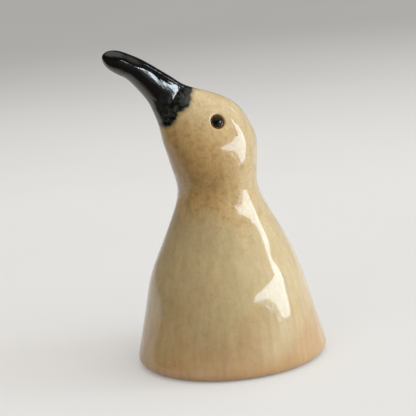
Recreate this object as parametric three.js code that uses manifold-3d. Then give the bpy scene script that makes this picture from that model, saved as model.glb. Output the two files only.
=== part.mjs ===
import * as THREE from 'three';
import { mergeVertices } from 'three/addons/utils/BufferGeometryUtils.js';
import Module from 'manifold-3d';

// Curlew figurine in glazed stoneware. Millimetres, +Z up.
// The bird faces -Y, its left side is +X, and the origin is the middle of the standing face.

// Body sections, level ovals on a round foot: each is a step up and forward from the section below
const FOOT_DIAMETER = 62.4;
const FOOT_EDGE = 3;
const SKIRT_RISE = 13.2;
const SKIRT_DEPTH = 54.9;
const SKIRT_WIDTH = 61.5;
const BELLY_RISE = 13.3;
const BELLY_DEPTH = 48.4;
const BELLY_WIDTH = 53.5;
const SHOULDER_RISE = 12.1;
const SHOULDER_REACH = -0.4;
const SHOULDER_DEPTH = 38.2;
const SHOULDER_WIDTH = 41;
const NECK_RISE = 13.9;
const NECK_REACH = 0.4;
const NECK_DEPTH = 25.9;
const NECK_WIDTH = 31;
const CHEEK_RISE = 10.2;
const CHEEK_REACH = 0.6;
const CHEEK_DEPTH = 28.1;
const CHEEK_WIDTH = 29.2;

// Head sections, which lean forward: a lean of 90 degrees is level
const HEAD_RISE = 7.6;
const HEAD_REACH = 0.8;
const HEAD_DEPTH = 30.4;
const HEAD_WIDTH = 25.6;
const HEAD_LEAN = 90;
const CROWN_RISE = 8.4;
const CROWN_REACH = 3.6;
const CROWN_DEPTH = 25.8;
const CROWN_WIDTH = 19.3;
const CROWN_LEAN = 78;
const BROW_RISE = 6.3;
const BROW_REACH = 8.2;
const BROW_DEPTH = 14;
const BROW_WIDTH = 11;
const BROW_LEAN = 65;

// Beak sections, from its root to the start of its rounded tip
const ROOT_RISE = 4.1;
const ROOT_REACH = 3.9;
const ROOT_DEPTH = 10.8;
const ROOT_WIDTH = 10.2;
const ROOT_LEAN = 59;
const MIDDLE_RISE = 6;
const MIDDLE_REACH = 6.5;
const MIDDLE_DEPTH = 8.1;
const MIDDLE_WIDTH = 9;
const MIDDLE_LEAN = 50;
const FORE_RISE = 2.8;
const FORE_REACH = 4.7;
const FORE_DEPTH = 7.3;
const FORE_WIDTH = 7.4;
const FORE_LEAN = 29;
const TIP_LENGTH = 6.7;

// Hollow of the body, and the disc that closes the foot
const WALL = 4;
const CAVITY_DOME = 4.5;
const RIM_WIDTH = 3;
const LEDGE_WIDTH = 2;
const DISC_THICKNESS = 4;
const VENT_DIAMETER = 3;
const VENT_SETBACK = 12;

// Joint of the beak: a plane behind the brow section, and a peg that goes into the head
const SEAM_SETBACK = 3;
const SEAM_LEAN = 53;
const PEG_DIAMETER = 8;
const PEG_LENGTH = 6;
const PEG_ROOT = 2;

// Eyes: where they sit on the head, their sockets and their beads
const EYE_ALONG = 0.75;
const EYE_TURN = 99;
const SOCKET_DIAMETER = 4.4;
const SOCKET_DEPTH = 1.6;
const SOCKET_LIP = 0.4;
const SEAT_THICKNESS = 0.4;
const SEAT_MARGIN = 0.4;
const BEAD_HEIGHT = 1.1;

// Slip gap between luted pieces
const FIT = 0.3;

// Facets
const AROUND = 40;
const STEPS_PER_SECTION = 5;
const ROUNDING_STEPS = 5;
const SMALL_AROUND = 24;

// Colours and gloss of the glazes and of the unglazed clay
const HONEY_GLAZE = 0xbfa573;
const BLACK_GLAZE = 0x16130f;
const BARE_CLAY = 0xcdbb9d;
const GLAZE_ROUGHNESS = 0.1;
const CLAY_ROUGHNESS = 0.8;

const LEVEL = 90;
const QUARTER_TURN = 0.5 * Math.PI;
const LATHE_AXIS = new THREE.Vector3(0, 1, 0);
const wasm = await Module();
wasm.setup();

function level(rise, reach, depth, width) {
  return { rise, reach, depth, width, lean: LEVEL };
}

function round(rise, diameter) {
  return level(rise, 0, diameter, diameter);
}

// Turns steps between sections into heights and reaches from the origin
function stack(steps) {
  let rise = 0;
  let reach = 0;
  return steps.map((step) => {
    rise += step.rise;
    reach += step.reach;
    return { ...step, rise, reach };
  });
}

const sections = stack([
  round(FOOT_EDGE, FOOT_DIAMETER),
  level(SKIRT_RISE, 0, SKIRT_DEPTH, SKIRT_WIDTH),
  level(BELLY_RISE, 0, BELLY_DEPTH, BELLY_WIDTH),
  level(SHOULDER_RISE, SHOULDER_REACH, SHOULDER_DEPTH, SHOULDER_WIDTH),
  level(NECK_RISE, NECK_REACH, NECK_DEPTH, NECK_WIDTH),
  level(CHEEK_RISE, CHEEK_REACH, CHEEK_DEPTH, CHEEK_WIDTH),
  { rise: HEAD_RISE, reach: HEAD_REACH, depth: HEAD_DEPTH, width: HEAD_WIDTH, lean: HEAD_LEAN },
  { rise: CROWN_RISE, reach: CROWN_REACH, depth: CROWN_DEPTH, width: CROWN_WIDTH, lean: CROWN_LEAN },
  { rise: BROW_RISE, reach: BROW_REACH, depth: BROW_DEPTH, width: BROW_WIDTH, lean: BROW_LEAN },
  { rise: ROOT_RISE, reach: ROOT_REACH, depth: ROOT_DEPTH, width: ROOT_WIDTH, lean: ROOT_LEAN },
  { rise: MIDDLE_RISE, reach: MIDDLE_REACH, depth: MIDDLE_DEPTH, width: MIDDLE_WIDTH, lean: MIDDLE_LEAN },
  { rise: FORE_RISE, reach: FORE_REACH, depth: FORE_DEPTH, width: FORE_WIDTH, lean: FORE_LEAN },
]);
const [, skirt, belly, shoulder, neck, cheek, head, , brow] = sections;
const fore = sections.at(-1);

// Direction in which a section faces, up the neck or out along the beak
function facing(lean) {
  const tilt = THREE.MathUtils.degToRad(lean);
  return new THREE.Vector3(0, -Math.cos(tilt), Math.sin(tilt));
}

function middle(section) {
  return new THREE.Vector3(0, -section.reach, section.rise);
}

// Point on a section's oval; a turn of 0 is the front or the underside, and 90 degrees is the bird's left
function onSection(section, turn) {
  const tilt = THREE.MathUtils.degToRad(section.lean);
  const angle = THREE.MathUtils.degToRad(turn);
  const ahead = 0.5 * section.depth * Math.cos(angle);
  const aside = 0.5 * section.width * Math.sin(angle);
  return middle(section).add(new THREE.Vector3(aside, -ahead * Math.sin(tilt), -ahead * Math.cos(tilt)));
}

function ring(section) {
  return Array.from({ length: AROUND }, (_, i) => onSection(section, (360 * i) / AROUND));
}

// Smooth run of sections through the given ones; a place counts sections from the first
function blend(list) {
  const spine = list.map((s) => new THREE.Vector3(s.reach, s.rise, s.lean));
  const girth = list.map((s) => new THREE.Vector3(s.depth, s.width, 0));
  const along = new THREE.CatmullRomCurve3(spine, false, 'catmullrom');
  const across = new THREE.CatmullRomCurve3(girth, false, 'catmullrom');
  return (place) => {
    const share = place / (list.length - 1);
    const [reach, rise, lean] = along.getPoint(share).toArray();
    const [depth, width] = across.getPoint(share).toArray();
    return { reach, rise, lean, depth, width };
  };
}

function blendedRings(list) {
  const sectionAt = blend(list);
  const count = (list.length - 1) * STEPS_PER_SECTION;
  return Array.from({ length: count + 1 }, (_, i) => ring(sectionAt(i / STEPS_PER_SECTION)));
}

// Rings of a rounded cap that stands on a section, without its pole
function domeRings(section, height) {
  const rings = [];
  for (let i = 1; i < ROUNDING_STEPS; i += 1) {
    const swing = (QUARTER_TURN * i) / ROUNDING_STEPS;
    const centre = middle(section).addScaledVector(facing(section.lean), height * Math.sin(swing));
    const shrink = Math.cos(swing);
    rings.push(ring({
      reach: -centre.y,
      rise: centre.z,
      depth: section.depth * shrink,
      width: section.width * shrink,
      lean: section.lean,
    }));
  }
  return rings;
}

// Rings of the rounded lower edge of the foot, from the standing face up
function footEdgeRings() {
  const rings = [];
  for (let i = 0; i < ROUNDING_STEPS; i += 1) {
    const swing = (QUARTER_TURN * i) / ROUNDING_STEPS;
    const inset = FOOT_EDGE * (1 - Math.sin(swing));
    rings.push(ring(round(FOOT_EDGE * (1 - Math.cos(swing)), FOOT_DIAMETER - 2 * inset)));
  }
  return rings;
}

// Closed skin over a run of rings, with a fan to a pole at each end
function loft(rings, bottom, top) {
  const points = [bottom, ...rings.flat(), top];
  const last = points.length - 1;
  const at = (row, i) => 1 + row * AROUND + (i % AROUND);
  const faces = [];
  for (let i = 0; i < AROUND; i += 1) {
    faces.push(0, at(0, i + 1), at(0, i));
    faces.push(last, at(rings.length - 1, i), at(rings.length - 1, i + 1));
    for (let row = 0; row < rings.length - 1; row += 1) {
      faces.push(at(row, i), at(row, i + 1), at(row + 1, i));
      faces.push(at(row, i + 1), at(row + 1, i + 1), at(row + 1, i));
    }
  }
  const geometry = new THREE.BufferGeometry().setFromPoints(points);
  geometry.setIndex(faces);
  return geometry;
}

// Places a geometry made along +Y so that it starts at a point and runs in a direction
function aim(geometry, start, direction) {
  geometry.applyQuaternion(new THREE.Quaternion().setFromUnitVectors(LATHE_AXIS, direction));
  return geometry.translate(start.x, start.y, start.z);
}

function rod(diameter, length, start, direction, sides = SMALL_AROUND) {
  const geometry = new THREE.CylinderGeometry(0.5 * diameter, 0.5 * diameter, length, sides);
  return solid(aim(geometry.translate(0, 0.5 * length, 0), start, direction));
}

function solid(geometry) {
  geometry.deleteAttribute('normal');
  geometry.deleteAttribute('uv');
  const welded = mergeVertices(geometry);
  const vertProperties = new Float32Array(welded.attributes.position.array);
  const triVerts = new Uint32Array(welded.index.array);
  return new wasm.Manifold(new wasm.Mesh({ numProp: 3, vertProperties, triVerts }));
}

function geometryOf(body) {
  const mesh = body.getMesh();
  const geometry = new THREE.BufferGeometry();
  geometry.setAttribute('position', new THREE.BufferAttribute(mesh.vertProperties, 3));
  geometry.setIndex(new THREE.BufferAttribute(mesh.triVerts, 1));
  return geometry;
}

function piece(name, geometry, color, roughness) {
  const material = new THREE.MeshStandardMaterial({ color, roughness, metalness: 0 });
  const mesh = new THREE.Mesh(geometry, material);
  mesh.name = name;
  return mesh;
}

// The whole bird as one unbroken form, from the standing face to the tip of the beak
const tip = middle(fore).addScaledVector(facing(FORE_LEAN), TIP_LENGTH);
const form = solid(loft(
  [...footEdgeRings(), ...blendedRings(sections), ...domeRings(fore, TIP_LENGTH)],
  new THREE.Vector3(),
  tip,
));

// Seam of the beak
const seamFacing = facing(SEAM_LEAN);
const seam = middle(brow).addScaledVector(seamFacing, -SEAM_SETBACK);

// All that lies ahead of the seam, shifted along it by a gap
function aheadOfSeam(gap) {
  const size = 2 * tip.length();
  const box = new THREE.BoxGeometry(size, size, size).translate(0, 0.5 * size, 0);
  return solid(aim(box, seam.clone().addScaledVector(seamFacing, gap), seamFacing));
}

function pegSolid(clearance) {
  const start = seam.clone().addScaledVector(seamFacing, -PEG_LENGTH - clearance);
  return rod(PEG_DIAMETER + 2 * clearance, PEG_LENGTH + PEG_ROOT + clearance, start, seamFacing);
}

// Hollow: follows the outside at one wall's distance, and narrows to a ledge above the disc
const openingDiameter = FOOT_DIAMETER - 2 * FOOT_EDGE - 2 * RIM_WIDTH;
function inner(section) {
  return { ...section, depth: section.depth - 2 * WALL, width: section.width - 2 * WALL };
}
const cavityFloor = round(DISC_THICKNESS, openingDiameter - 2 * LEDGE_WIDTH);
const cavitySections = [cavityFloor, ...[skirt, belly, shoulder, neck, cheek, head].map(inner)];
const cavityTop = cavitySections.at(-1);
const cavity = solid(loft(
  [...blendedRings(cavitySections), ...domeRings(cavityTop, CAVITY_DOME)],
  middle(cavityFloor),
  middle(cavityTop).addScaledVector(facing(HEAD_LEAN), CAVITY_DOME),
));
const upward = facing(LEVEL);
const below = new THREE.Vector3(0, 0, -FIT);
const opening = rod(openingDiameter, DISC_THICKNESS + 2 * FIT, below, upward, AROUND);

// Eyes: one spot on each flank of the head, with the direction that the skin faces there
const skinAt = blend(sections);
const eyePlace = sections.indexOf(head) + EYE_ALONG;
function eyeSpot(side) {
  const nudge = 0.01;
  const spot = onSection(skinAt(eyePlace), side * EYE_TURN);
  const along = onSection(skinAt(eyePlace + nudge), side * EYE_TURN).sub(spot);
  const around = onSection(skinAt(eyePlace), side * EYE_TURN + nudge).sub(spot);
  return { spot, outward: around.cross(along).normalize() };
}

// Socket with a rounded lip, as a tool for cutting it
function eyeSocket({ spot, outward }) {
  const radius = 0.5 * SOCKET_DIAMETER;
  const profile = [new THREE.Vector2(0, 0), new THREE.Vector2(radius, 0)];
  for (let i = 0; i <= ROUNDING_STEPS; i += 1) {
    const swing = (QUARTER_TURN * i) / ROUNDING_STEPS;
    profile.push(new THREE.Vector2(
      radius + SOCKET_LIP * (1 - Math.cos(swing)),
      SOCKET_DEPTH - SOCKET_LIP * (1 - Math.sin(swing)),
    ));
  }
  profile.push(new THREE.Vector2(radius + SOCKET_LIP, 2 * SOCKET_DEPTH));
  profile.push(new THREE.Vector2(0, 2 * SOCKET_DEPTH));
  const start = spot.clone().addScaledVector(outward, -SOCKET_DEPTH);
  return solid(aim(new THREE.LatheGeometry(profile, SMALL_AROUND), start, outward));
}

// Domed bead on a thin seat, just clear of the socket's floor and wall
function eyeGeometry({ spot, outward }) {
  const seatRadius = 0.5 * SOCKET_DIAMETER - FIT;
  const profile = [
    new THREE.Vector2(0, 0),
    new THREE.Vector2(seatRadius, 0),
    new THREE.Vector2(seatRadius, SEAT_THICKNESS),
  ];
  for (let i = 0; i <= ROUNDING_STEPS; i += 1) {
    const swing = (QUARTER_TURN * i) / ROUNDING_STEPS;
    const radius = i < ROUNDING_STEPS ? (seatRadius - SEAT_MARGIN) * Math.cos(swing) : 0;
    profile.push(new THREE.Vector2(radius, SEAT_THICKNESS + BEAD_HEIGHT * Math.sin(swing)));
  }
  const start = spot.clone().addScaledVector(outward, FIT - SOCKET_DEPTH);
  return aim(new THREE.LatheGeometry(profile, SMALL_AROUND), start, outward);
}

const leftEye = eyeSpot(1);
const rightEye = eyeSpot(-1);

const bodySolid = form
  .subtract(aheadOfSeam(0))
  .subtract(pegSolid(FIT))
  .subtract(cavity)
  .subtract(opening)
  .subtract(eyeSocket(leftEye))
  .subtract(eyeSocket(rightEye));

const beakSolid = form.intersect(aheadOfSeam(FIT)).add(pegSolid(0));

const ventStart = new THREE.Vector3(0, VENT_SETBACK, -DISC_THICKNESS);
const discSolid = rod(openingDiameter - 2 * FIT, DISC_THICKNESS, new THREE.Vector3(), upward, AROUND)
  .subtract(rod(VENT_DIAMETER, 3 * DISC_THICKNESS, ventStart, upward));

const curlew = new THREE.Group();
curlew.add(
  piece('body_shell', geometryOf(bodySolid), HONEY_GLAZE, GLAZE_ROUGHNESS),
  piece('base_disc', geometryOf(discSolid), BARE_CLAY, CLAY_ROUGHNESS),
  piece('beak', geometryOf(beakSolid), BLACK_GLAZE, GLAZE_ROUGHNESS),
  piece('eye_left', eyeGeometry(leftEye), BLACK_GLAZE, GLAZE_ROUGHNESS),
  piece('eye_right', eyeGeometry(rightEye), BLACK_GLAZE, GLAZE_ROUGHNESS),
);

export default curlew;
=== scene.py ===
import math
from typing import NamedTuple

import bpy
from bpy.props import FloatProperty, FloatVectorProperty, IntProperty, PointerProperty
from mathutils import Matrix, Vector


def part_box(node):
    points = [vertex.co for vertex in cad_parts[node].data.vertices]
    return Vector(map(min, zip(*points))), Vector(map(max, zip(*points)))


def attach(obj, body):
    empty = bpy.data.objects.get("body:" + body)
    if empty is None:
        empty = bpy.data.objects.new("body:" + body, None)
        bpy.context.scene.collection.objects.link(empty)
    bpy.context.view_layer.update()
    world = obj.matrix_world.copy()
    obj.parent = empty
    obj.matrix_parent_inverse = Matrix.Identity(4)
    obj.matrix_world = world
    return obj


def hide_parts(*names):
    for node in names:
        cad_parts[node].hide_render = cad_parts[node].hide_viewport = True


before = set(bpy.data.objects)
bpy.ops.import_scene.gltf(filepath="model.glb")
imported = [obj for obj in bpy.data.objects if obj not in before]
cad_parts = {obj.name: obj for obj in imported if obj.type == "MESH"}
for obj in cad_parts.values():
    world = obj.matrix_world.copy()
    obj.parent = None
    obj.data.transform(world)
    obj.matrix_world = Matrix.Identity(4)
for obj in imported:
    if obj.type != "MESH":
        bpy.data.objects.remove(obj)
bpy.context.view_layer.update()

bl_info = {
    "name": "Curlew figurine",
    "version": (1, 0, 0),
    "blender": (4, 5, 0),
    "location": "3D View > Sidebar > Curlew",
    "description": "Models and glazes a stoneware curlew and lights it in a small studio",
    "category": "Object",
}

ROOT_BODY = "root"
MM = 0.001
LEVEL = 90.0


class Section(NamedTuple):
    """Oval section of the clay form in millimetres; a lean of 90 degrees is level."""

    rise: float
    reach: float
    depth: float
    width: float
    lean: float = LEVEL


class Ring(NamedTuple):
    """Ring of the modelled form in metres: middle, tilt about X, half width and half depth."""

    middle: Vector
    tilt: float
    width: float
    depth: float


# Sections of the bird from its foot to the start of the beak's rounded tip
FOOT = Section(3.0, 0.0, 62.4, 62.4)
SKIRT = Section(16.2, 0.0, 54.9, 61.5)
BELLY = Section(29.5, 0.0, 48.4, 53.5)
SHOULDER = Section(41.6, -0.4, 38.2, 41.0)
NECK = Section(55.5, 0.0, 25.9, 31.0)
CHEEK = Section(65.7, 0.6, 28.1, 29.2)
HEAD = Section(73.3, 1.4, 30.4, 25.6)
CROWN = Section(81.7, 5.0, 25.8, 19.3, 78.0)
BROW = Section(88.0, 13.2, 14.0, 11.0, 65.0)
ROOT = Section(92.1, 17.1, 10.8, 10.2, 59.0)
MIDDLE = Section(98.1, 23.6, 8.1, 9.0, 50.0)
FORE = Section(100.9, 28.3, 7.3, 7.4, 29.0)
FORM = (FOOT, SKIRT, BELLY, SHOULDER, NECK, CHEEK, HEAD, CROWN, BROW, ROOT, MIDDLE, FORE)
FOOT_EDGE = 3.0
TIP_LENGTH = 6.7

# Hollow under the body: radius and height of each ring of the rim and of the rebate for the base
REBATE = (
    (25.6, 0.0),
    (25.25, 0.02),
    (25.2, 0.4),
    (25.2, 3.9),
    (25.2, 4.25),
    (24.9, 4.3),
    (23.6, 4.3),
    (23.2, 4.4),
)
WALL = 4.0
CAVITY_DOME = 4.5

# Rings of the rounded foot edge and of the beak's tip, and rings per section and in the dome of the hollow
FOOT_RINGS = 4
TIP_RINGS = 6
HOLLOW_STEPS = 2
HOLLOW_DOME_RINGS = 3
SHARP_ANGLE = 50.0

# Joint of the beak
SEAM_SETBACK = 3.0
SEAM_LEAN = 53.0
PEG_INSET = 4.2
PEG_LENGTH = 6.0
PEG_CLEARANCE = 0.3

# Flanks of the beak, pressed flatter: angle above the side, spread, depth at the root, share further out
FLANK_ANGLE = 16.0
FLANK_SPREAD = 40.0
FLANK_DEPTH = 0.6
FLANK_SHARE = 0.47

# Places at which the press on the flanks sets in, eases off and ends, in sections from the crown
FLANK_ONSET = (0.2, 0.75)
FLANK_EASING = (0.8, 1.7)
FLANK_END = (3.2, 2.5)
FLANK_STEP = 0.05

# Eyes: place along the head and round it, then the radius and height of each ring of the bead
EYE_PLACE = FORM.index(HEAD) + 0.75
EYE_TURN = 99.0
EYE_SETBACK = 1.3
BEAD = (
    (1.0, 0.0),
    (1.78, 0.0),
    (1.9, 0.1),
    (1.9, 0.3),
    (1.8, 0.4),
    (1.62, 0.4),
    (1.53, 0.5),
    (1.46, 0.8),
    (1.22, 1.14),
    (0.86, 1.38),
    (0.42, 1.49),
)

# Base: points round its rims, radius of the vent, its distance behind the middle, and the softened edge
BASE_POINTS = 96
VENT_RADIUS = 1.5
VENT_SETBACK = 12.0
BASE_EDGE = 0.35

# Index of refraction of each glaze and tint of its reflections
HONEY_GLOSS = (1.5, (0.97, 1.0, 1.0))
BLACK_GLOSS = (1.95, (1.0, 0.92, 0.85))


def facing(lean):
    """Direction in which a section faces, up the neck or out along the beak."""
    tilt = math.radians(lean)
    return Vector((0.0, -math.cos(tilt), math.sin(tilt)))


def middle_of(section):
    return Vector((0.0, -section.reach, section.rise)) * MM


def section_at(sections, place):
    """Section on the smooth run through the given ones, at a place counted from the first."""
    index = min(int(place), len(sections) - 2)
    part = place - index
    values = []
    for axis, start in enumerate(sections[index]):
        end = sections[index + 1][axis]
        before = sections[index - 1][axis] if index > 0 else 2 * start - end
        after = sections[index + 2][axis] if index + 2 < len(sections) else 2 * end - start
        leave = 0.5 * (end - before)
        arrive = 0.5 * (after - start)
        bend = 3 * (end - start) - 2 * leave - arrive
        settle = leave + arrive - 2 * (end - start)
        values.append(start + part * (leave + part * (bend + part * settle)))
    return Section(*values)


def skin_point(place, turn):
    """Point on the bird's skin; a turn of 90 degrees is its left side and 0 its front."""
    section = section_at(FORM, place)
    angle = math.radians(turn)
    tilt = math.radians(section.lean)
    ahead = 0.5 * section.depth * math.cos(angle)
    aside = 0.5 * section.width * math.sin(angle)
    offset = Vector((aside, -ahead * math.sin(tilt), -ahead * math.cos(tilt)))
    return middle_of(section) + offset * MM


def eye_spot(side):
    """Middle of an eye on the skin, and the direction that the skin faces there."""
    nudge = 0.01
    spot = skin_point(EYE_PLACE, side * EYE_TURN)
    along = skin_point(EYE_PLACE + nudge, side * EYE_TURN) - spot
    around = skin_point(EYE_PLACE, side * EYE_TURN + nudge) - spot
    return spot, around.cross(along).normalized()


SEAM_FACING = facing(SEAM_LEAN)
SEAM_MIDDLE = middle_of(BROW) - SEAM_FACING * SEAM_SETBACK * MM


# Rings

def swell(points):
    """Share by which a ring is widened so that its smoothed surface has the true size."""
    return 6.0 / (4.0 + 2.0 * math.cos(2.0 * math.pi / points))


def ring_of(section, points):
    tilt = math.radians(LEVEL - section.lean)
    half = 0.5 * MM * swell(points)
    return Ring(middle_of(section), tilt, section.width * half, section.depth * half)


def round_ring(radius, height, points):
    return ring_of(Section(height, 0.0, 2.0 * radius, 2.0 * radius), points)


def foot_edge_rings(points, count):
    """Rings of the rounded lower edge, from the standing face up to the foot section."""
    rings = []
    for index in range(count):
        swing = 0.5 * math.pi * index / count
        radius = 0.5 * FOOT.width - FOOT_EDGE * (1.0 - math.sin(swing))
        rings.append(round_ring(radius, FOOT_EDGE * (1.0 - math.cos(swing)), points))
    return rings


def run_rings(sections, start, steps, points):
    """Rings along a smooth run of sections, from a place on it to its end."""
    count = (len(sections) - 1 - start) * steps
    return [ring_of(section_at(sections, start + i / steps), points) for i in range(count + 1)]


def dome_rings(section, length, count, points):
    """Rings of a rounded end that stands on a section, up to a small last ring."""
    rings = []
    for index in range(1, count + 1):
        swing = 0.5 * math.pi * index / (count + 0.5)
        shift = facing(section.lean) * length * math.sin(swing)
        rings.append(ring_of(section._replace(
            rise=section.rise + shift.z,
            reach=section.reach - shift.y,
            width=section.width * math.cos(swing),
            depth=section.depth * math.cos(swing),
        ), points))
    return rings


def hollow_rings(points):
    """Rings of the underside, the rebate for the base and the hollow of the body."""
    radius, height = REBATE[-1]
    inner = [Section(height, 0.0, 2.0 * radius, 2.0 * radius)]
    for section in (SKIRT, BELLY, SHOULDER, NECK, CHEEK, HEAD):
        inner.append(section._replace(
            depth=section.depth - 2.0 * WALL,
            width=section.width - 2.0 * WALL,
        ))
    rings = [round_ring(radius, height, points) for radius, height in REBATE[:-1]]
    rings += run_rings(inner, 0, HOLLOW_STEPS, points)
    return rings + dome_rings(inner[-1], CAVITY_DOME, HOLLOW_DOME_RINGS, points)


# Modelling helpers

def start_piece(name):
    """New empty mesh at the origin, open for modelling and the only object selected."""
    bpy.ops.object.select_all(action="DESELECT")
    bpy.ops.object.add(type="MESH", location=(0.0, 0.0, 0.0))
    piece = bpy.context.object
    piece.name = name
    piece.data.name = name
    bpy.ops.object.mode_set(mode="EDIT")
    bpy.ops.mesh.select_mode(type="VERT")
    return piece


def turn(angle, axis, centre):
    """Right-handed turn of the selection; with no window the operator turns the other way."""
    if angle:
        bpy.ops.transform.rotate(value=-angle, orient_axis=axis, center_override=centre)


def add_ring(ring, points):
    bpy.ops.mesh.primitive_circle_add(vertices=points, radius=ring.width, location=ring.middle)
    stretch = (1.0, ring.depth / ring.width, 1.0)
    bpy.ops.transform.resize(value=stretch, center_override=ring.middle)
    turn(ring.tilt, "X", ring.middle)


def extrude_rings(last, rings):
    """Draws the selected ring out through a run of rings."""
    for ring in rings:
        shift = ring.middle - last.middle
        bpy.ops.mesh.extrude_region_move(TRANSFORM_OT_translate={"value": shift})
        turn(-last.tilt, "X", ring.middle)
        stretch = (ring.width / last.width, ring.depth / last.depth, 1.0)
        bpy.ops.transform.resize(value=stretch, center_override=ring.middle)
        turn(ring.tilt, "X", ring.middle)
        last = ring


def cap_ring(points):
    """Closes the selected ring with a grid of four-sided faces."""
    bpy.ops.mesh.fill_grid(span=points // 4)


def select_where(piece, kind, test):
    """Selects the points or faces of a piece that pass a test, and opens it for modelling."""
    bpy.ops.object.mode_set(mode="OBJECT")
    mesh = piece.data
    for items in (mesh.vertices, mesh.edges, mesh.polygons):
        items.foreach_set("select", [False] * len(items))
    chosen = mesh.vertices if kind == "VERT" else mesh.polygons
    chosen.foreach_set("select", [bool(test(item)) for item in chosen])
    bpy.ops.object.mode_set(mode="EDIT")
    bpy.ops.mesh.select_mode(type=kind)


def face_outward():
    bpy.ops.mesh.select_all(action="SELECT")
    bpy.ops.mesh.normals_make_consistent(inside=False)
    bpy.ops.object.mode_set(mode="OBJECT")


def smooth_form(piece, level):
    """Smooths a closed cage for good."""
    face_outward()
    smoothing = piece.modifiers.new("Smoothing", "SUBSURF")
    smoothing.levels = level
    smoothing.render_levels = level
    bpy.ops.object.modifier_apply(modifier=smoothing.name)


def press_in(piece, name, depth, share_of):
    """Presses a piece in along its normals, at each point by a share of the depth."""
    bpy.ops.object.mode_set(mode="OBJECT")
    group = piece.vertex_groups.new(name=name)
    for vertex in piece.data.vertices:
        share = share_of(vertex)
        if share > 0.0:
            group.add([vertex.index], share, "REPLACE")
    press = piece.modifiers.new(name, "DISPLACE")
    press.direction = "NORMAL"
    press.mid_level = 0.0
    press.strength = -depth
    press.vertex_group = group.name
    bpy.ops.object.modifier_apply(modifier=press.name)


def ease(value, start, end):
    """Smooth step from 0 at the start to 1 at the end."""
    part = min(max((value - start) / (end - start), 0.0), 1.0)
    return part * part * (3.0 - 2.0 * part)


def press_flanks(piece):
    """Presses both flanks of the beak a little flatter."""
    crown = FORM.index(CROWN)
    count = round((len(FORM) - 1 - crown) / FLANK_STEP)
    places = [FLANK_STEP * index for index in range(count)]
    run = [(place, section_at(FORM, crown + place)) for place in places]

    def share_of(vertex):
        if vertex.co.z < HEAD.rise * MM:
            return 0.0
        place, section = min(run, key=lambda item: (vertex.co - middle_of(item[1])).length_squared)
        along = ease(place, *FLANK_ONSET) * ease(place, *FLANK_END)
        along *= 1.0 - (1.0 - FLANK_SHARE) * ease(place, *FLANK_EASING)
        lift = vertex.normal.dot(facing(section.lean + 90.0))
        angle = math.degrees(math.atan2(lift, abs(vertex.normal.x)))
        swing = min(abs(angle - FLANK_ANGLE) / FLANK_SPREAD, 1.0)
        return along * math.cos(0.5 * math.pi * swing) ** 2

    press_in(piece, "flanks", FLANK_DEPTH * MM, share_of)


def cut_at_seam(piece, keep_ahead):
    """Keeps one side of the beak's seam, closes it and selects the closing face."""
    bpy.ops.object.mode_set(mode="EDIT")
    bpy.ops.mesh.select_all(action="SELECT")
    bpy.ops.mesh.bisect(
        plane_co=SEAM_MIDDLE,
        plane_no=SEAM_FACING,
        use_fill=True,
        clear_inner=keep_ahead,
        clear_outer=not keep_ahead,
    )
    reach = 0.01 * MM

    def on_seam(face):
        return abs((face.center - SEAM_MIDDLE).dot(SEAM_FACING)) < reach

    select_where(piece, "FACE", on_seam)


def finish_piece(piece, material, slot, *nodes):
    """Shades a piece, checks that it is closed and ties it to the frame."""
    face_outward()
    bpy.ops.object.shade_smooth_by_angle(angle=math.radians(SHARP_ANGLE))
    piece.data.materials.append(material)
    uses = [0] * len(piece.data.edges)
    for loop in piece.data.loops:
        uses[loop.edge_index] += 1
    if not uses or any(count != 2 for count in uses):
        raise RuntimeError(f"{piece.name} is not a closed mesh")
    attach(piece, ROOT_BODY)
    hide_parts(*nodes)


# Shader helpers

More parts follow.
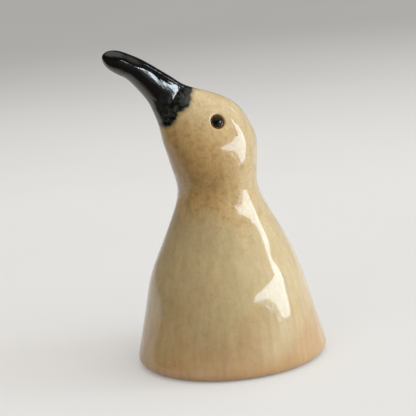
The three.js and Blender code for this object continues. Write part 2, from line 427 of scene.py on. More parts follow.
class Shader:
    """Node tree of one material, with short calls for the nodes that it needs."""

    def __init__(self, name):
        self.material = bpy.data.materials.new(name)
        self.material.use_nodes = True
        self.tree = self.material.node_tree
        self.tree.nodes.clear()
        place = self.add("ShaderNodeTexCoord").outputs["Object"]
        self.point = self.vector("MULTIPLY", place, (1.0 / MM,) * 3)

    def add(self, kind, **settings):
        node = self.tree.nodes.new(kind)
        for name, value in settings.items():
            setattr(node, name, value)
        return node

    def feed(self, socket, value):
        """Links an output to a socket, or sets a constant on it."""
        if isinstance(value, bpy.types.NodeSocket):
            self.tree.links.new(value, socket)
        elif isinstance(value, (int, float)):
            socket.default_value = value
        elif len(socket.default_value) == 4 and len(value) == 3:
            socket.default_value = (*value, 1.0)
        else:
            socket.default_value = tuple(value)

    def vector(self, operation, first, second):
        node = self.add("ShaderNodeVectorMath", operation=operation)
        self.feed(node.inputs[0], first)
        self.feed(node.inputs[1], second)
        return node.outputs["Vector"]

    def dot(self, first, second):
        node = self.add("ShaderNodeVectorMath", operation="DOT_PRODUCT")
        self.feed(node.inputs[0], first)
        self.feed(node.inputs[1], second)
        return node.outputs["Value"]

    def math(self, operation, *values):
        node = self.add("ShaderNodeMath", operation=operation)
        for socket, value in zip(node.inputs, values):
            self.feed(socket, value)
        return node.outputs["Value"]

    def noise(self, scale, detail, roughness=0.5, point=None):
        """Noise from 0 to 1; the scale counts waves per millimetre."""
        node = self.add("ShaderNodeTexNoise")
        self.feed(node.inputs["Vector"], point or self.point)
        node.inputs["Scale"].default_value = scale
        node.inputs["Detail"].default_value = detail
        node.inputs["Roughness"].default_value = roughness
        return node.outputs["Fac"]

    def ramp(self, value, start, end, low=0.0, high=1.0, smooth=True):
        """Maps a value from start to end onto low to high, and holds it there beyond."""
        node = self.add("ShaderNodeMapRange")
        node.interpolation_type = "SMOOTHSTEP" if smooth else "LINEAR"
        self.feed(node.inputs["Value"], value)
        node.inputs["From Min"].default_value = start
        node.inputs["From Max"].default_value = end
        node.inputs["To Min"].default_value = low
        node.inputs["To Max"].default_value = high
        return node.outputs["Result"]

    def mix(self, share, first, second, blend="MIX"):
        node = self.add("ShaderNodeMix", data_type="RGBA", blend_type=blend)
        self.feed(node.inputs["Factor"], share)
        colours = [socket for socket in node.inputs if socket.type == "RGBA"]
        self.feed(colours[0], first)
        self.feed(colours[1], second)
        return next(socket for socket in node.outputs if socket.type == "RGBA")

    def shade(self, colour, value):
        """Multiplies a colour by a plain value."""
        node = self.add("ShaderNodeCombineColor")
        for socket in node.inputs:
            self.feed(socket, value)
        return self.mix(1.0, colour, node.outputs["Color"], "MULTIPLY")

    def bump(self, height, depth):
        """Relief of a height from 0 to 1; the depth is in metres."""
        node = self.add("ShaderNodeBump")
        node.inputs["Strength"].default_value = 1.0
        node.inputs["Distance"].default_value = depth
        self.feed(node.inputs["Height"], height)
        return node.outputs["Normal"]

    def surface(self, colour, roughness, normal, ior=1.5, tint=(1.0, 1.0, 1.0)):
        node = self.add("ShaderNodeBsdfPrincipled")
        self.feed(node.inputs["Base Color"], colour)
        self.feed(node.inputs["Roughness"], roughness)
        self.feed(node.inputs["Normal"], normal)
        node.inputs["IOR"].default_value = ior
        node.inputs["Specular Tint"].default_value = (*tint, 1.0)
        output = self.add("ShaderNodeOutputMaterial")
        self.feed(output.inputs["Surface"], node.outputs["BSDF"])
        return self.material

    def split(self, point):
        node = self.add("ShaderNodeSeparateXYZ")
        self.feed(node.inputs[0], point)
        return node.outputs

    def eye_measures(self):
        """Distance from the axis of the nearer eye, and height along that axis, in millimetres."""
        spot, outward = eye_spot(1)
        mirrored = self.add("ShaderNodeVectorMath", operation="ABSOLUTE")
        self.feed(mirrored.inputs[0], self.point)
        across = self.split(mirrored.outputs["Vector"])["X"]
        parts = self.split(self.point)
        joined = self.add("ShaderNodeCombineXYZ")
        self.feed(joined.inputs["X"], across)
        self.feed(joined.inputs["Y"], parts["Y"])
        self.feed(joined.inputs["Z"], parts["Z"])
        away = self.vector("SUBTRACT", joined.outputs["Vector"], spot / MM)
        height = self.dot(away, outward)
        square = self.math("SUBTRACT", self.dot(away, away), self.math("MULTIPLY", height, height))
        return self.math("SQRT", self.math("MAXIMUM", square, 0.0)), height


def glaze(name, look, ior, tint):
    """Glaze of the whole bird: honey to olive, with the black of the beak brushed over its front."""
    s = Shader(name)
    rise = s.split(s.point)["Z"]
    back = s.split(s.point)["Y"]

    # Honey on the head, olive-beige on the body, a paler colour painted on the back and crown where the
    # window light falls, and tan where it thins at the foot
    broad = s.noise(0.07, 3.0)
    sway = s.ramp(broad, 0.3, 0.7, -8.0, 8.0, False)
    climb = s.math("ADD", rise, s.ramp(back, -14.0, 8.0, 0.0, 9.0))
    colour = s.mix(s.ramp(s.math("MULTIPLY_ADD", sway, 0.5, climb), 49.5, 56.5), look.olive, look.honey)
    top = s.math("MULTIPLY_ADD", s.math("MAXIMUM", s.math("SUBTRACT", rise, 76.0), 0.0), 1.2, back)
    # Painted light: share of the paler colour, growing towards the back and up the crown, the side the
    # window lights
    painted_lit_share = s.ramp(s.math("MULTIPLY_ADD", sway, 0.5, top), -11.0, 12.0)
    colour = s.mix(painted_lit_share, colour, look.lit_cream)
    colour = s.mix(s.ramp(s.math("ADD", rise, sway), 26.0, -3.0), colour, look.tan)

    # Toasted blotches, painted shade in the front hollow of the neck, faint runs down the form, fine
    # mottling and iron specks
    toast = s.ramp(s.noise(0.42, 5.0, 0.62), 0.45, 0.67, 0.0, 0.7)
    # Painted shade: the toast colour laid round the hollow of the neck, on its front, away from the window
    hollow = s.ramp(s.math("ABSOLUTE", s.math("SUBTRACT", rise, 65.0)), 15.0, 2.0, 0.0, 0.34)
    hollow = s.math("MULTIPLY", hollow, s.ramp(s.math("ADD", back, sway), 12.0, -6.0))
    colour = s.mix(hollow, colour, look.toast)
    busy = s.ramp(climb, 42.0, 60.0, 0.35, 1.0)
    toast = s.math("MULTIPLY", toast, busy)
    # Fewer blotches where the painted light lies
    toast = s.math("MULTIPLY", toast, s.math("MULTIPLY_ADD", painted_lit_share, -0.75, 1.0))
    colour = s.mix(toast, colour, look.toast)
    runs = s.noise(0.42, 3.0, 0.6, s.vector("MULTIPLY", s.point, (1.0, 1.0, 0.09)))
    colour = s.shade(colour, s.ramp(runs, 0.28, 0.72, 0.89, 1.07, False))
    grain = s.noise(1.3, 5.0, 0.62)
    fleck = s.math("MULTIPLY", s.ramp(grain, 0.3, 0.7, -0.11, 0.1, False), busy)
    colour = s.shade(colour, s.math("ADD", fleck, 1.0))
    cells = s.add("ShaderNodeTexVoronoi")
    s.feed(cells.inputs["Vector"], s.vector("ADD", s.point, (3.1, 1.7, 5.3)))
    cells.inputs["Scale"].default_value = 0.3
    chance = s.add("ShaderNodeSeparateColor")
    s.feed(chance.inputs[0], cells.outputs["Color"])
    size = s.ramp(chance.outputs["Red"], 0.45, 1.0, 0.0, 0.085, False)
    near = s.math("SUBTRACT", size, cells.outputs["Distance"])
    colour = s.mix(s.ramp(near, -0.03, 0.03, 0.0, 0.55), colour, look.speck)

    # Iron-brown glaze pooled in the eye sockets
    away, _ = s.eye_measures()
    colour = s.mix(s.ramp(away, 2.5, 2.2), colour, look.iron)

    # Ragged edge of the black, brushed on round the root of the beak
    from_seam = s.vector("SUBTRACT", s.point, SEAM_MIDDLE / MM)
    ahead = s.dot(from_seam, SEAM_FACING)
    under = s.dot(from_seam, facing(SEAM_LEAN - LEVEL))
    wavelength = 8.5
    crest = 2.7
    pitch = 2.0 * math.pi / wavelength
    wave = s.math("COSINE", s.math("MULTIPLY_ADD", under, pitch, -crest * pitch))
    edge = s.math("MULTIPLY_ADD", wave, -0.6, s.math("ADD", ahead, 0.6))
    edge = s.math("MULTIPLY_ADD", under, 0.13, edge)
    edge = s.math("SUBTRACT", edge, s.ramp(under, 5.5, 9.0, 0.0, 0.9))
    edge = s.math("ADD", edge, s.ramp(s.noise(0.6, 4.0), 0.25, 0.75, -0.4, 0.4, False))
    edge = s.math("ADD", edge, s.ramp(s.noise(2.4, 2.0), 0.25, 0.75, -0.12, 0.12, False))
    black = s.ramp(edge, -0.5, 0.45)
    colour = s.mix(s.ramp(edge, -1.5, -0.1, 0.0, 0.7), colour, look.bleed)
    thin = s.ramp(s.noise(0.7, 5.0, 0.65), 0.42, 0.68)
    fade = s.ramp(ahead, 10.0, 0.0, 0.05, 0.85)
    ink = s.mix(s.math("MULTIPLY", thin, fade), look.black, look.thin)
    colour = s.mix(black, colour, ink)

    # Bare rim under the foot
    bare = s.ramp(rise, 0.45, 0.15)
    colour = s.mix(bare, colour, look.clay)
    gloss = s.ramp(grain, 0.3, 0.7, 0.8 * look.gloss, 1.3 * look.gloss, False)
    rough = s.math("MAXIMUM", gloss, s.math("MULTIPLY", bare, 0.85))

    # Waves of the glaze, and the brush marks in the black
    relief = s.math("MULTIPLY_ADD", grain, 0.06, s.noise(0.2, 2.0))
    along = s.add("ShaderNodeCombineXYZ")
    s.feed(along.inputs["X"], s.split(s.point)["X"])
    s.feed(along.inputs["Y"], under)
    s.feed(along.inputs["Z"], s.math("MULTIPLY", ahead, 0.2))
    brush = s.math("MULTIPLY", s.noise(0.9, 2.0, 0.5, along.outputs["Vector"]), black)
    relief = s.math("MULTIPLY_ADD", brush, 3.5, relief)
    return s.surface(colour, rough, s.bump(relief, 0.03 * MM), ior, tint)


def eye_glaze(name, look):
    """Black bead in a pool of iron-brown glaze."""
    s = Shader(name)
    away, height = s.eye_measures()
    flow = s.noise(1.6, 4.0)
    iron = s.shade(look.iron, s.ramp(flow, 0.3, 0.7, 0.75, 1.3, False))
    shifted = s.math("ADD", away, s.ramp(flow, 0.3, 0.7, -0.08, 0.08, False))
    ink = s.shade(look.black, s.ramp(s.noise(2.5, 4.0), 0.3, 0.7, 0.7, 1.5, False))
    colour = s.mix(s.ramp(shifted, 1.86, 1.7), iron, ink)
    rough = s.ramp(flow, 0.3, 0.7, 0.7 * look.gloss, look.gloss, False)
    return s.surface(colour, rough, s.bump(s.noise(1.2, 2.0), 0.004 * MM))


def bare_clay(name, look):
    """Unglazed stoneware with turning marks and grog."""
    s = Shader(name)
    parts = s.split(s.point)
    flat = s.math("ADD", s.math("POWER", parts["X"], 2.0), s.math("POWER", parts["Y"], 2.0))
    radius = s.math("SQRT", flat)
    wander = s.math("ADD", radius, s.ramp(s.noise(0.12, 2.0), 0.2, 0.8, -1.0, 1.0, False))
    groove = s.math("SINE", s.math("MULTIPLY", wander, 3.4))
    grain = s.noise(2.2, 6.0, 0.65)
    cloud = s.noise(0.09, 3.0)
    colour = s.shade(look.clay, s.ramp(cloud, 0.25, 0.75, 0.86, 1.08, False))
    colour = s.shade(colour, s.ramp(grain, 0.3, 0.7, 0.86, 1.1, False))
    colour = s.shade(colour, s.ramp(groove, -1.0, 1.0, 0.95, 1.03, False))
    grog = s.ramp(s.noise(1.5, 2.0), 0.66, 0.74, 0.0, 0.5)
    colour = s.mix(grog, colour, look.speck)
    relief = s.math("ADD", s.math("MULTIPLY", groove, 0.35), grain)
    rough = s.ramp(grain, 0.3, 0.7, 0.78, 0.92, False)
    return s.surface(colour, rough, s.bump(relief, 0.05 * MM))


# Settings

def colour_setting(name, description, value):
    return FloatVectorProperty(
        name=name,
        description=description,
        default=value,
        subtype="COLOR",
        size=3,
        min=0.0,
        max=1.0,
    )


class CurlewShape(bpy.types.PropertyGroup):
    """Fineness of the modelled pieces and the sizes of the eye sockets."""

    points: IntProperty(
        name="Ring points",
        description="Points round each ring of the clay form",
        default=48,
        min=16,
        max=64,
    )
    steps: IntProperty(
        name="Rings per section",
        description="Rings between two sections of the clay form",
        default=4,
        min=2,
        max=6,
    )
    level: IntProperty(
        name="Smoothing",
        description="Subdivision level of the modelled pieces",
        default=2,
        min=1,
        max=3,
    )
    socket_floor: FloatProperty(
        name="Socket floor",
        description="Radius of the floor of an eye socket",
        default=2.0 * MM,
        unit="LENGTH",
    )
    socket_lip: FloatProperty(
        name="Socket lip",
        description="Radius at which the lip of an eye socket meets the skin",
        default=2.6 * MM,
        unit="LENGTH",
    )
    socket_rim: FloatProperty(
        name="Socket rim",
        description="Radius at which the skin starts to dip towards an eye socket",
        default=3.4 * MM,
        unit="LENGTH",
    )
    socket_depth: FloatProperty(
        name="Socket depth",
        description="Depth of an eye socket",
        default=1.6 * MM,
        unit="LENGTH",
    )


class CurlewGlaze(bpy.types.PropertyGroup):
    """Colours of the glazes and of the clay, and the gloss of the glazes."""

    honey: colour_setting("Honey", "Glaze on the head and neck", (0.67, 0.44, 0.184))
    olive: colour_setting("Olive", "Glaze on the body", (0.59, 0.46, 0.25))
    # Painted light: a paler colour for the back and crown, where the window light falls
    lit_cream: colour_setting("Cream", "Thick glaze at the back and on the crown", (0.63, 0.485, 0.282))
    tan: colour_setting("Tan", "Thin glaze at the foot", (0.54, 0.32, 0.145))
    # Toast also colours the painted shade in the hollow of the neck
    toast: colour_setting("Toast", "Iron blotches in the honey", (0.46, 0.265, 0.105))
    speck: colour_setting("Speck", "Iron specks", (0.1, 0.06, 0.03))
    iron: colour_setting("Iron", "Pooled glaze round the eyes", (0.32, 0.13, 0.03))
    black: colour_setting("Black", "Glaze on the beak and eyes", (0.003, 0.003, 0.003))
    thin: colour_setting("Thin black", "Black glaze where it breaks", (0.062, 0.065, 0.05))
    bleed: colour_setting("Bleed", "Honey glaze stained by the black", (0.22, 0.2, 0.12))
    clay: colour_setting("Clay", "Unglazed stoneware", (0.6, 0.48, 0.34))
    gloss: FloatProperty(
        name="Glaze roughness",
        description="Roughness of the fired glaze",
        default=0.06,
        min=0.0,
        max=1.0,
        subtype="FACTOR",
    )


class CurlewStudio(bpy.types.PropertyGroup):
    """Floor and light of the studio."""

    floor_size: FloatProperty(
        name="Floor size",
        description="Side of the square floor",
        default=14.0,
        unit="LENGTH",
    )
    floor: colour_setting("Floor", "Colour of the floor", (0.54, 0.537, 0.532))
    floor_lift: FloatProperty(
        name="Floor lift",
        description="Brightness added to the floor where it is seen or mirrored",
        default=0.52,
        min=0.0,
    )
    window: FloatProperty(
        name="Window strength",
        description="Brightness of the window light",
        default=7.9,
        min=0.0,
    )
    window_distance: FloatProperty(
        name="Window distance",
        description="Distance from the bird to the window light",
        default=2.4,
        unit="LENGTH",
    )
    fill: FloatProperty(
        name="Fill strength",
        description="Brightness of the soft light from all round",
        default=0.6,
        min=0.0,
    )
    ceiling: FloatProperty(
        name="Ceiling",
        description="Brightness of the ceiling that the glaze mirrors",
        default=0.6,
        min=0.0,
    )
    backdrop: FloatProperty(
        name="Backdrop",
        description="Brightness of the wall seen beyond the floor",
        default=0.42,
        min=0.0,
    )


# Pieces

class CURLEW_OT_body(bpy.types.Operator):
    """Models the hollow body, neck and head with the eye sockets, and glazes them"""

    bl_idname = "curlew.body"
    bl_label = "Body"

    def execute(self, context):
        shape = context.scene.curlew_shape
        points = shape.points
        piece = start_piece("body")
        outside = foot_edge_rings(points, FOOT_RINGS)
        outside += run_rings(FORM, 0, shape.steps, points)
        outside += dome_rings(FORE, TIP_LENGTH, TIP_RINGS, points)
        add_ring(outside[0], points)
        extrude_rings(outside[0], outside[1:])
        cap_ring(points)
        select_where(piece, "VERT", lambda point: point.index < points)
        extrude_rings(outside[0], hollow_rings(points))
        cap_ring(points)
        smooth_form(piece, shape.level)
        press_flanks(piece)
        cut_at_seam(piece, keep_ahead=False)
        bpy.ops.mesh.inset(thickness=(PEG_INSET - PEG_CLEARANCE) * MM)
        shift = SEAM_FACING * -(PEG_LENGTH + PEG_CLEARANCE) * MM
        bpy.ops.mesh.extrude_region_move(TRANSFORM_OT_translate={"value": shift})
        self.sink_sockets(piece, shape)
        material = glaze("honey_glaze", context.scene.curlew_glaze, *HONEY_GLOSS)
        finish_piece(piece, material, "honey_glaze", "body_shell")
        return {"FINISHED"}

    def sink_sockets(self, piece, shape):
        """Refines the skin round each eye and sinks a round socket with a soft lip into it."""
        eyes = [eye_spot(1), eye_spot(-1)]
        reach = 1.05 * shape.socket_rim
        dip = 0.11

        def distance(place):
            """Distance from the axis of the nearer eye."""
            spot, outward = eyes[0] if place.x > 0.0 else eyes[1]
            away = place - spot
            height = away.dot(outward)
            if abs(height) > reach:
                return math.inf
            return (away - outward * height).length

        select_where(piece, "FACE", lambda face: distance(face.center) < reach)
        bpy.ops.mesh.subdivide(number_cuts=3, smoothness=1.0)

        def share_of(vertex):
            away = distance(vertex.co)
            if away > shape.socket_rim:
                return 0.0
            rim = min((shape.socket_rim - away) / (shape.socket_rim - shape.socket_lip), 1.0)
            sunk = ease(away, shape.socket_lip, shape.socket_floor)
            return dip * rim * rim + (1.0 - dip) * sunk

        press_in(piece, "sockets", shape.socket_depth, share_of)
        bpy.ops.object.mode_set(mode="EDIT")


class CURLEW_OT_beak(bpy.types.Operator):
    """Models the downcurved beak with its peg, and glazes it"""

    bl_idname = "curlew.beak"
    bl_label = "Beak"

    def execute(self, context):
        shape = context.scene.curlew_shape
        points = shape.points
        piece = start_piece("beak_horn")
        rings = run_rings(FORM, FORM.index(HEAD), shape.steps, points)
        rings += dome_rings(FORE, TIP_LENGTH, TIP_RINGS, points)
        add_ring(rings[0], points)
        extrude_rings(rings[0], rings[1:])
        cap_ring(points)
        smooth_form(piece, shape.level)
        press_flanks(piece)
        cut_at_seam(piece, keep_ahead=True)
        bpy.ops.mesh.inset(thickness=PEG_INSET * MM)
        shift = SEAM_FACING * -PEG_LENGTH * MM
        bpy.ops.mesh.extrude_region_move(TRANSFORM_OT_translate={"value": shift})
        material = glaze("black_glaze", context.scene.curlew_glaze, *BLACK_GLOSS)
        finish_piece(piece, material, "black_glaze", "beak")
        return {"FINISHED"}


class CURLEW_OT_eyes(bpy.types.Operator):
    """Models the two eyes, each a domed bead on its seat, and glazes them"""

    bl_idname = "curlew.eyes"
    bl_label = "Eyes"

    def execute(self, context):
        shape = context.scene.curlew_shape
        points = shape.points // 2
        material = eye_glaze("eye_glaze", context.scene.curlew_glaze)
        for side, name in ((1, "eye_left"), (-1, "eye_right")):
            piece = start_piece(name + "_bead")
            rings = [round_ring(radius, height, points) for radius, height in BEAD]
            add_ring(rings[0], points)
            extrude_rings(rings[0], rings[1:])
            cap_ring(points)
            select_where(piece, "VERT", lambda point: point.index < points)
            cap_ring(points)
            smooth_form(piece, shape.level)
            self.place(*eye_spot(side))
            finish_piece(piece, material, "black_glaze", name)
        return {"FINISHED"}

    def place(self, spot, outward):
        """Turns the bead from upright to the way its socket faces, and moves it there."""
        bpy.ops.object.mode_set(mode="EDIT")
        bpy.ops.mesh.select_all(action="SELECT")
        turn(math.acos(outward.z), "Y", Vector())
        turn(math.atan2(outward.y, outward.x), "Z", Vector())
        bpy.ops.transform.translate(value=spot - outward * EYE_SETBACK * MM)


class CURLEW_OT_base(bpy.types.Operator):
    """Models the clay disc that closes the foot, with its vent"""

    bl_idname = "curlew.base"
    bl_label = "Base"

    def execute(self, context):
        low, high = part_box("base_disc")
        radius = 0.5 * (high.x - low.x)
        piece = start_piece("base")
        rims = ((radius, 0.0), (VENT_RADIUS * MM, VENT_SETBACK * MM))
        for size, setback in rims:
            bpy.ops.mesh.primitive_circle_add(
                vertices=BASE_POINTS,
                radius=size,
                location=(0.0, setback, low.z),
            )
        bpy.ops.mesh.select_all(action="SELECT")
        bpy.ops.mesh.bridge_edge_loops()
        bpy.ops.mesh.select_all(action="SELECT")
        shift = (0.0, 0.0, high.z - low.z)
        bpy.ops.mesh.extrude_region_move(TRANSFORM_OT_translate={"value": shift})
        face_outward()
        bpy.ops.object.mode_set(mode="EDIT")
        bpy.ops.mesh.select_mode(type="EDGE")
        bpy.ops.mesh.select_all(action="DESELECT")
        bpy.ops.mesh.edges_select_sharp(sharpness=math.radians(SHARP_ANGLE))
        bpy.ops.mesh.bevel(offset=BASE_EDGE * MM, segments=3, affect="EDGES")
        material = bare_clay("bare_clay", context.scene.curlew_glaze)
        finish_piece(piece, material, "bare_clay", "base_disc")
        return {"FINISHED"}


# Studio

def direction(azimuth, elevation):
    """Direction seen from the bird; azimuth 0 is ahead of it and 90 its left."""
    turned = math.radians(azimuth)
    raised = math.radians(elevation)
    flat = math.cos(raised)
    return Vector((math.sin(turned) * flat, -math.cos(turned) * flat, math.sin(raised)))


class CURLEW_OT_studio(bpy.types.Operator):
    """Lays the pale floor and sets up the window light, the fill light and the camera"""

    bl_idname = "curlew.studio"
    bl_label = "Studio"

    # Corners of the bright panes, as azimuth and elevation seen from the bird
    window_corners = (
        (100.0, 19.5),
        (116.0, 18.8),
        (129.0, 16.5),
        (138.0, 12.0),
        (141.0, 7.0),
        (143.5, 3.0),
        (150.0, 1.5),
        (160.0, 1.2),
        (163.0, 5.0),
        (164.0, 9.5),
        (168.0, 13.0),
        (167.0, 20.5),
        (163.5, 23.3),
        (160.5, 26.0),
        (159.0, 30.0),
        (155.5, 30.5),
        (154.5, 26.0),
        (154.0, 21.5),
        (150.0, 21.3),
        (138.0, 22.0),
        (128.0, 22.3),
        (112.0, 22.0),
    )
    curtain_corners = (
        (100.0, 19.5),
        (112.0, 17.0),
        (125.0, 11.5),
        (132.0, 6.0),
        (137.0, 0.8),
        (150.0, 0.6),
        (160.0, 0.8),
        (160.0, 1.2),
        (150.0, 1.5),
        (143.5, 3.0),
        (141.0, 7.0),
        (138.0, 12.0),
        (129.0, 16.5),
        (116.0, 18.8),
    )
    doorway_corners = ((186.0, 25.0), (192.0, 25.0), (193.0, 41.0), (187.0, 41.0))

    # Dimmest and brightest share of the window's strength in each pane
    window_shares = (1.0, 1.0)
    curtain_shares = (0.03, 0.62)
    doorway_shares = (0.32, 0.32)
    window_middle = (0.0, 0.0, 0.06)

    # Azimuth and elevation of the sides on which the light and the dark cloth lie
    sunny_side = (150.0, 0.0)
    fill_side = (125.0, 45.0)
    flag_side = (45.0, 0.0)
    dark_side = (20.0, 0.0)
    window_colour = (0.79, 0.97, 1.13, 1.0)
    fill_colour = (1.0, 0.95, 0.88, 1.0)
    mirrored_colour = (0.92, 1.0, 1.0, 1.0)
    cloth_colour = (0.03, 0.03, 0.03)

    # Camera, fitted to the outline of the bird
    camera_place = (0.49822, -0.17561, 0.16085)
    camera_right = (0.34209, 0.93530, -0.09053)
    camera_up = (-0.16275, 0.15386, 0.97460)
    camera_back = (0.92547, -0.31866, 0.20485)
    camera_lens = 143.4
    camera_sensor = 36.0

    def execute(self, context):
        studio = context.scene.curlew_studio
        floor = self.lay_floor(studio)
        window = self.hang_pane("window", self.window_corners, self.window_shares, studio)
        curtain = self.hang_pane("curtain", self.curtain_corners, self.curtain_shares, studio)
        doorway = self.hang_pane("doorway", self.doorway_corners, self.doorway_shares, studio)
        flag = self.lay_flag(studio)
        self.light_world(context.scene, studio)
        self.set_camera(context.scene)
        context.scene.view_settings.view_transform = "Standard"
        return {"FINISHED"}

    def lay_floor(self, studio):
        bpy.ops.object.select_all(action="DESELECT")
        bpy.ops.mesh.primitive_plane_add(size=studio.floor_size, location=(0.0, 0.0, 0.0))
        floor = bpy.context.object
        floor.name = "floor"
        s = Shader("floor_paint")
        cloud = s.noise(0.004, 4.0)
        # Painted light on the floor: brighter round the bird and fading beyond 250 mm, with painted shade
        # towards the window; the cloud adds faint random mottling
        away = s.math("SQRT", s.dot(s.point, s.point))
        pool = s.ramp(away, 250.0, 1100.0, 1.0, 0.56)
        window_side_shade = s.ramp(s.dot(s.point, direction(*self.sunny_side)), 150.0, 1500.0, 1.0, 0.25)
        pool = s.math("MINIMUM", pool, window_side_shade)
        painted_falloff_and_cloud = s.math("MULTIPLY", pool, s.ramp(cloud, 0.3, 0.7, 0.985, 1.015, False))
        colour = s.shade(studio.floor, painted_falloff_and_cloud)
        material = s.surface(colour, 0.6, s.bump(s.noise(0.8, 3.0), 0.01 * MM))
        path = s.add("ShaderNodeLightPath").outputs
        seen = s.math("MAXIMUM", path["Is Camera Ray"], path["Is Glossy Ray"])
        seen = s.math("MAXIMUM", seen, path["Is Transmission Ray"])
        paint = next(node for node in s.tree.nodes if node.type == "BSDF_PRINCIPLED")
        paint.inputs["Specular IOR Level"].default_value = 0.05
        paint.inputs["Emission Color"].default_value = (*studio.floor, 1.0)
        lift = s.math("MULTIPLY", painted_falloff_and_cloud, studio.floor_lift)
        s.feed(paint.inputs["Emission Strength"], s.math("MULTIPLY", seen, lift))
        floor.data.materials.append(material)
        return floor

    def lay_flag(self, studio):
        """Dark cloth away from the window, seen only in the glaze and in the light it takes away."""
        bpy.ops.object.select_all(action="DESELECT")
        bpy.ops.mesh.primitive_plane_add(size=studio.floor_size, location=(0.0, 0.0, 1.0 * MM))
        flag = bpy.context.object
        flag.name = "flag"
        flag.visible_camera = False
        flag.visible_shadow = False
        s = Shader("flag_cloth")
        weave = s.ramp(s.noise(0.5, 3.0), 0.3, 0.7, 0.8, 1.2, False)
        material = s.surface(s.shade(self.cloth_colour, weave), 0.9, s.bump(weave, 0.02 * MM))
        cloth = next(node for node in s.tree.nodes if node.type == "BSDF_PRINCIPLED")
        cover = s.ramp(s.dot(s.point, direction(*self.flag_side)), 30.0, 110.0)
        above = s.math("SUBTRACT", 1.0, s.add("ShaderNodeNewGeometry").outputs["Backfacing"])
        s.feed(cloth.inputs["Alpha"], s.math("MULTIPLY", cover, above))
        flag.data.materials.append(material)
        return flag

    def hang_pane(self, name, corners, shares, studio):
        """Flat bright pane with its corners in the given directions, seen only in the light it gives."""
        ways = [direction(*corner) for corner in corners]
        middle = sum(ways, Vector()).normalized()
        centre = Vector(self.window_middle)
        points = [centre + way * (studio.window_distance / way.dot(middle)) for way in ways]
        mesh = bpy.data.meshes.new(name)
        mesh.from_pydata(points, [], [range(len(points))])
        pane = bpy.data.objects.new(name, mesh)
        bpy.context.collection.objects.link(pane)
        pane.visible_camera = False
        s = Shader(name + "_light")
        glow = s.add("ShaderNodeEmission")
        glow.inputs["Color"].default_value = self.window_colour
        folds = s.noise(0.014, 4.0, 0.6, s.vector("MULTIPLY", s.point, (1.0, 1.0, 0.3)))
        levels = [share * studio.window for share in shares]
        s.feed(glow.inputs["Strength"], s.ramp(folds, 0.44, 0.56, *levels))
        output = s.add("ShaderNodeOutputMaterial")
        s.feed(output.inputs["Surface"], glow.outputs["Emission"])
        mesh.materials.append(s.material)
        return pane

    def light_world(self, scene, studio):
        """Soft fill, stronger on the window's side; the glaze mirrors dim walls and a pale ceiling."""
        world = bpy.data.worlds.new("studio")
        scene.world = world
        world.use_nodes = True
        tree = world.node_tree
        tree.nodes.clear()
        way = tree.nodes.new("ShaderNodeTexCoord").outputs["Generated"]
        side = self.towards(tree, way, self.fill_side)
        dark = self.towards(tree, way, self.dark_side)
        height = tree.nodes.new("ShaderNodeSeparateXYZ")
        tree.links.new(way, height.inputs[0])
        level = self.map_level(tree, side, -0.25, 1.0, 0.3 * studio.fill, 2.2 * studio.fill)
        walls = self.map_level(tree, height.outputs["Z"], 0.36, 0.0, 0.04, 0.36)
        shade = self.map_level(tree, dark, 0.6, -0.3, 0.12, 1.0)
        ceiling = self.map_level(tree, height.outputs["Z"], 0.6, 0.9, 0.02, studio.ceiling)
        mirrored = tree.nodes.new("ShaderNodeMath")
        mirrored.operation = "MAXIMUM"
        dimmed = tree.nodes.new("ShaderNodeMath")
        dimmed.operation = "MULTIPLY"
        tree.links.new(walls, dimmed.inputs[0])
        tree.links.new(shade, dimmed.inputs[1])
        tree.links.new(dimmed.outputs["Value"], mirrored.inputs[0])
        tree.links.new(ceiling, mirrored.inputs[1])
        path = tree.nodes.new("ShaderNodeLightPath")
        choice = tree.nodes.new("ShaderNodeMix")
        tree.links.new(path.outputs["Is Glossy Ray"], choice.inputs["Factor"])
        tree.links.new(level, choice.inputs["A"])
        tree.links.new(mirrored.outputs["Value"], choice.inputs["B"])
        seen = tree.nodes.new("ShaderNodeMix")
        seen.inputs["B"].default_value = studio.backdrop
        tree.links.new(path.outputs["Is Camera Ray"], seen.inputs["Factor"])
        tree.links.new(choice.outputs["Result"], seen.inputs["A"])
        fill = tree.nodes.new("ShaderNodeBackground")
        tint = tree.nodes.new("ShaderNodeMix")
        tint.data_type = "RGBA"
        warm, cool = [socket for socket in tint.inputs if socket.type == "RGBA"]
        warm.default_value = self.fill_colour
        cool.default_value = self.mirrored_colour
        tinted = next(socket for socket in tint.outputs if socket.type == "RGBA")
        tree.links.new(path.outputs["Is Glossy Ray"], tint.inputs["Factor"])
        tree.links.new(tinted, fill.inputs["Color"])
        tree.links.new(seen.outputs["Result"], fill.inputs["Strength"])
        output = tree.nodes.new("ShaderNodeOutputWorld")
        tree.links.new(fill.outputs["Background"], output.inputs["Surface"])

    def towards(self, tree, way, place):
        """How far the way that is looked points to the given side, from -1 to 1."""
        node = tree.nodes.new("ShaderNodeVectorMath")
        node.operation = "DOT_PRODUCT"
        node.inputs[1].default_value = direction(*place)
        tree.links.new(way, node.inputs[0])
        return node.outputs["Value"]

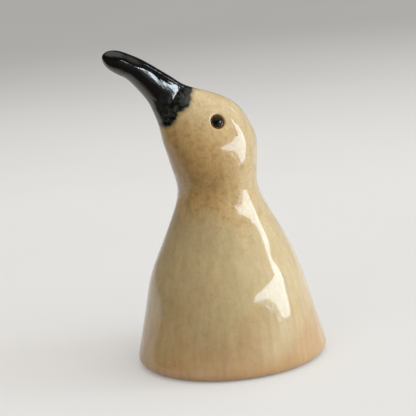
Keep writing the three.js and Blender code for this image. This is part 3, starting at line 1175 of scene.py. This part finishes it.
    def map_level(self, tree, value, start, end, low, high):
        node = tree.nodes.new("ShaderNodeMapRange")
        node.interpolation_type = "SMOOTHSTEP"
        node.inputs["From Min"].default_value = start
        node.inputs["From Max"].default_value = end
        node.inputs["To Min"].default_value = low
        node.inputs["To Max"].default_value = high
        tree.links.new(value, node.inputs["Value"])
        return node.outputs["Result"]

    def set_camera(self, scene):
        lens = bpy.data.cameras.new("camera")
        lens.lens = self.camera_lens
        lens.sensor_width = self.camera_sensor
        lens.clip_start = 0.01
        lens.clip_end = 50.0
        camera = bpy.data.objects.new("camera", lens)
        bpy.context.collection.objects.link(camera)
        axes = Matrix((self.camera_right, self.camera_up, self.camera_back)).transposed()
        camera.matrix_world = Matrix.Translation(self.camera_place) @ axes.to_4x4()
        scene.camera = camera


class CURLEW_PT_sidebar(bpy.types.Panel):
    """Sidebar with the settings and the pieces in their order"""

    bl_idname = "CURLEW_PT_sidebar"
    bl_label = "Curlew"
    bl_space_type = "VIEW_3D"
    bl_region_type = "UI"
    bl_category = "Curlew"

    def draw(self, context):
        scene = context.scene
        for group in (scene.curlew_shape, scene.curlew_glaze, scene.curlew_studio):
            box = self.layout.box()
            for name in group.__annotations__:
                box.prop(group, name)
        for operator in OPERATORS:
            self.layout.operator(operator.bl_idname)


OPERATORS = (CURLEW_OT_body, CURLEW_OT_beak, CURLEW_OT_eyes, CURLEW_OT_base, CURLEW_OT_studio)
CLASSES = (CurlewShape, CurlewGlaze, CurlewStudio, *OPERATORS, CURLEW_PT_sidebar)


def register():
    for item in CLASSES:
        bpy.utils.register_class(item)
    bpy.types.Scene.curlew_shape = PointerProperty(type=CurlewShape)
    bpy.types.Scene.curlew_glaze = PointerProperty(type=CurlewGlaze)
    bpy.types.Scene.curlew_studio = PointerProperty(type=CurlewStudio)


def unregister():
    del bpy.types.Scene.curlew_studio
    del bpy.types.Scene.curlew_glaze
    del bpy.types.Scene.curlew_shape
    for item in reversed(CLASSES):
        bpy.utils.unregister_class(item)


def main():
    register()
    bpy.ops.curlew.body()
    bpy.ops.curlew.beak()
    bpy.ops.curlew.eyes()
    bpy.ops.curlew.base()
    bpy.ops.curlew.studio()


if __name__ == "__main__":
    main()
